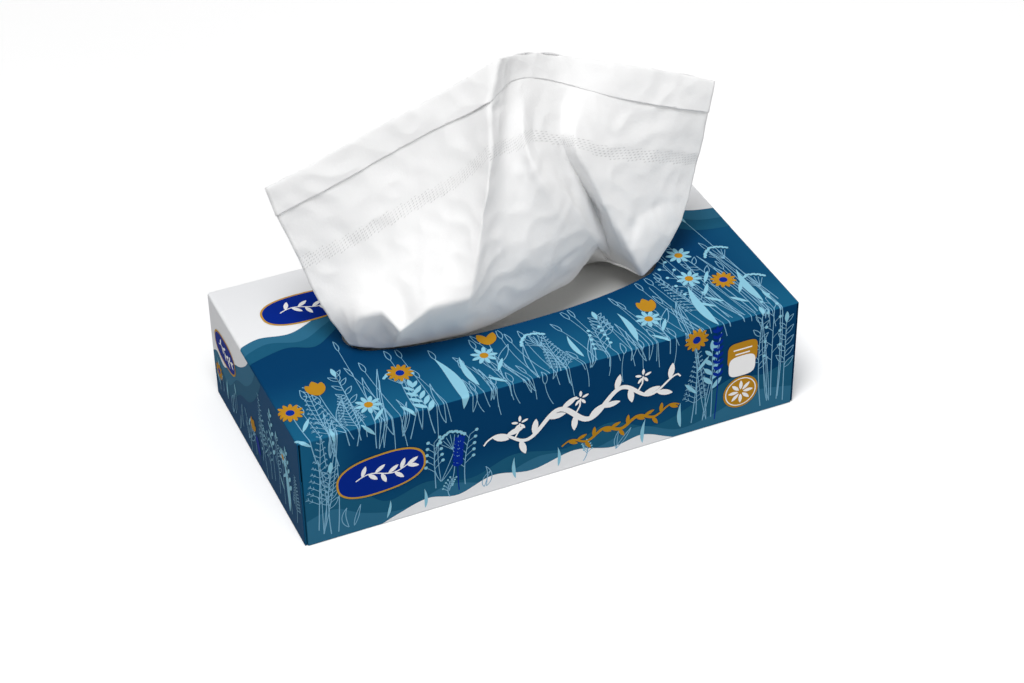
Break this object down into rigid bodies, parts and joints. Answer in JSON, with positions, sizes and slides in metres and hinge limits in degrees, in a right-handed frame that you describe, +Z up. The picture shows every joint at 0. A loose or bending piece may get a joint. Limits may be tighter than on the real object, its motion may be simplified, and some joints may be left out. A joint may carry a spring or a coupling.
{
  "type": "tissue box",
  "caption": "Flat oblong card box of interfolded tissues with an oval mouth in its top and one tissue pulled halfway out.",
  "frame": {"origin": "middle of the carton's base", "axes": "+Z up out of the mouth, +X along the carton's length, the front long side at -Y"},
  "size_m": [0.23, 0.114, 0.1758],
  "materials": {
    "printed_card": "printed navy and teal, satin varnish",
    "tissue": "soft matt two-ply tissue",
    "glue": "dried glue line"
  },
  "bodies": {
    "root": {"carton": "printed_card", "tissue_stack": "tissue", "pulled_tissue": "tissue", "seam_glue": "glue", "end_glue_left": "glue", "end_glue_right": "glue"}
  },
  "joints": []
}
